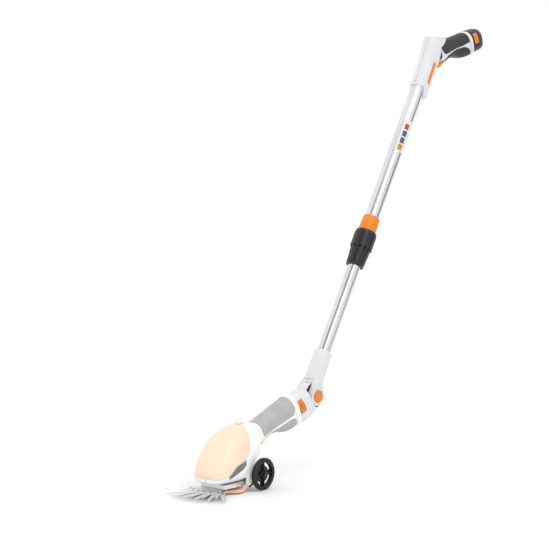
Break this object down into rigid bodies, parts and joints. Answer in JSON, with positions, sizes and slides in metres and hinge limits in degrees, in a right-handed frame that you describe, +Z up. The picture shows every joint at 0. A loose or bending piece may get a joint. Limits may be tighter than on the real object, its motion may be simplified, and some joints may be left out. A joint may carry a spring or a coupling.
{
  "type": "grass shears",
  "caption": "Cordless grass shears with fan-shaped combs on a two-wheeled telescopic pole with a tilting joint, twist clamp, trigger handle and battery.",
  "frame": {"origin": "on the ground midway between the two wheels, under their axle", "axes": "+Z up, +Y from the combs back towards the user, +X to the side, square to the tool's middle plane"},
  "size_m": [0.1462, 0.9469, 0.8844],
  "materials": {
    "white_plastic": "satin moulded",
    "peach_plastic": "glossy moulded",
    "pale_grip": "soft overmould",
    "dark_grip": "soft overmould",
    "grey_plastic": "satin moulded",
    "orange_plastic": "satin moulded",
    "black_plastic": "fine textured",
    "tyre": "matt",
    "tube_aluminium": "anodised",
    "plate_aluminium": "machined",
    "blade_steel": "ground",
    "steel": "bright",
    "nylon": "moulded",
    "brass": "plated",
    "label": "printed film",
    "badge": "glossy film",
    "board": "lacquered"
  },
  "bodies": {
    "head": {"axle": "steel", "axle_caps": "black_plastic", "axle_bracket": "white_plastic", "lower_blade": "blade_steel", "blade_pivot": "steel", "sole_plate": "orange_plastic", "gear_plate": "plate_aluminium", "gear_axle": "steel", "motor": "steel", "shears_housing_left": "white_plastic", "shears_housing_right": "white_plastic", "shears_cover": "peach_plastic", "shears_grip_upper": "pale_grip", "shears_grip_lower": "pale_grip", "badge_left": "badge", "badge_right": "badge", "shears_screws": "steel", "shears_trigger_pin": "steel", "shears_switch": "black_plastic", "adapter_body": "grey_plastic"},
    "wheel_left": {"wheel_left": "tyre"},
    "wheel_right": {"wheel_right": "tyre"},
    "blade": {"upper_blade": "blade_steel"},
    "drive_gear": {"drive_gear": "nylon"},
    "motor_pinion": {"motor_pinion": "steel"},
    "lock_slider": {"lock_slider": "peach_plastic"},
    "shears_trigger": {"shears_trigger": "peach_plastic"},
    "adapter_latch_left": {"adapter_latch_left": "orange_plastic"},
    "adapter_latch_right": {"adapter_latch_right": "orange_plastic"},
    "lower_pole": {"joint_pin": "steel", "socket_left": "grey_plastic", "socket_right": "grey_plastic", "lower_tube": "tube_aluminium"},
    "tilt_button_left": {"tilt_button_left": "orange_plastic"},
    "tilt_button_right": {"tilt_button_right": "orange_plastic"},
    "upper_pole": {"upper_tube": "tube_aluminium", "clamp_collet": "nylon", "clamp_ring": "orange_plastic", "tube_label": "label", "handle_housing_left": "grey_plastic", "handle_housing_right": "grey_plastic", "handle_grip_upper": "dark_grip", "handle_grip_lower": "dark_grip", "accent_stripe": "orange_plastic", "handle_screws": "steel", "handle_trigger_pin": "steel", "handle_switch": "black_plastic", "control_board": "board"},
    "clamp_sleeve": {"clamp_sleeve": "black_plastic"},
    "handle_trigger": {"handle_trigger": "orange_plastic"},
    "battery": {"battery": "black_plastic", "battery_contacts": "brass"},
    "battery_latch_left": {"battery_latch_left": "orange_plastic"},
    "battery_latch_right": {"battery_latch_right": "orange_plastic"}
  },
  "joints": [
    {"name": "wheel_left_spin", "type": "hinge", "parent": "head", "child": "wheel_left", "pos_m": [-0.0475, 0, 0.03], "axis": [1, 0, 0], "continuous": true},
    {"name": "wheel_right_spin", "type": "hinge", "parent": "head", "child": "wheel_right", "pos_m": [0.0475, 0, 0.03], "axis": [1, 0, 0], "continuous": true},
    {"name": "blade_swing", "type": "hinge", "parent": "head", "child": "blade", "pos_m": [0, -0.06, 0.011], "axis": [0, 0, 1], "range_deg": [-6.4, 6.4]},
    {"name": "gear_spin", "type": "hinge", "parent": "head", "child": "drive_gear", "pos_m": [0, -0.03, 0.0295], "axis": [0, 0, 1], "continuous": true},
    {"name": "pinion_spin", "type": "hinge", "parent": "head", "child": "motor_pinion", "pos_m": [0, -0.0492, 0.0305], "axis": [0, 0, 1], "continuous": true},
    {"name": "lock_slide", "type": "slide", "parent": "head", "child": "lock_slider", "axis": [0, 1, 0], "range_m": [0, 0.005], "stiffness_N_per_m": 150},
    {"name": "shears_trigger_squeeze", "type": "hinge", "parent": "head", "child": "shears_trigger", "pos_m": [0, 0.06637, 0.09618], "axis": [-1, 0, 0], "range_deg": [0, 8], "stiffness_Nm_per_rad": 0.6},
    {"name": "adapter_latch_left_press", "type": "slide", "parent": "head", "child": "adapter_latch_left", "axis": [1, 0, 0], "range_m": [0, 0.002], "stiffness_N_per_m": 800},
    {"name": "adapter_latch_right_press", "type": "slide", "parent": "head", "child": "adapter_latch_right", "axis": [-1, 0, 0], "range_m": [0, 0.002], "stiffness_N_per_m": 800},
    {"name": "pole_tilt", "type": "hinge", "parent": "head", "child": "lower_pole", "pos_m": [0, 0.19605, 0.14706], "axis": [1, 0, 0], "range_deg": [-82.5, 42.5]},
    {"name": "tilt_button_left_press", "type": "slide", "parent": "lower_pole", "child": "tilt_button_left", "axis": [1, 0, 0], "range_m": [0, 0.0025], "stiffness_N_per_m": 800},
    {"name": "tilt_button_right_press", "type": "slide", "parent": "lower_pole", "child": "tilt_button_right", "axis": [-1, 0, 0], "range_m": [0, 0.0025], "stiffness_N_per_m": 800},
    {"name": "pole_extend", "type": "slide", "parent": "lower_pole", "child": "upper_pole", "axis": [0, 0.5189, 0.8548], "range_m": [0, 0.15]},
    {"name": "clamp_twist", "type": "hinge", "parent": "upper_pole", "child": "clamp_sleeve", "pos_m": [0, 0.35783, 0.42319], "axis": [0, 0.5189, 0.8548], "range_deg": [0, 60]},
    {"name": "handle_trigger_squeeze", "type": "hinge", "parent": "upper_pole", "child": "handle_trigger", "pos_m": [0, 0.65159, 0.81884], "axis": [-1, 0, 0], "range_deg": [0, 8], "stiffness_Nm_per_rad": 0.6},
    {"name": "battery_slide", "type": "slide", "parent": "upper_pole", "child": "battery", "axis": [0, 0.9646, 0.2639], "range_m": [0, 0.09]},
    {"name": "battery_latch_left_press", "type": "slide", "parent": "battery", "child": "battery_latch_left", "axis": [1, 0, 0], "range_m": [0, 0.002], "stiffness_N_per_m": 800},
    {"name": "battery_latch_right_press", "type": "slide", "parent": "battery", "child": "battery_latch_right", "axis": [-1, 0, 0], "range_m": [0, 0.002], "stiffness_N_per_m": 800}
  ],
  "couplings": [
    {"joint": "pinion_spin", "follows": "gear_spin", "ratio": -3}
  ]
}
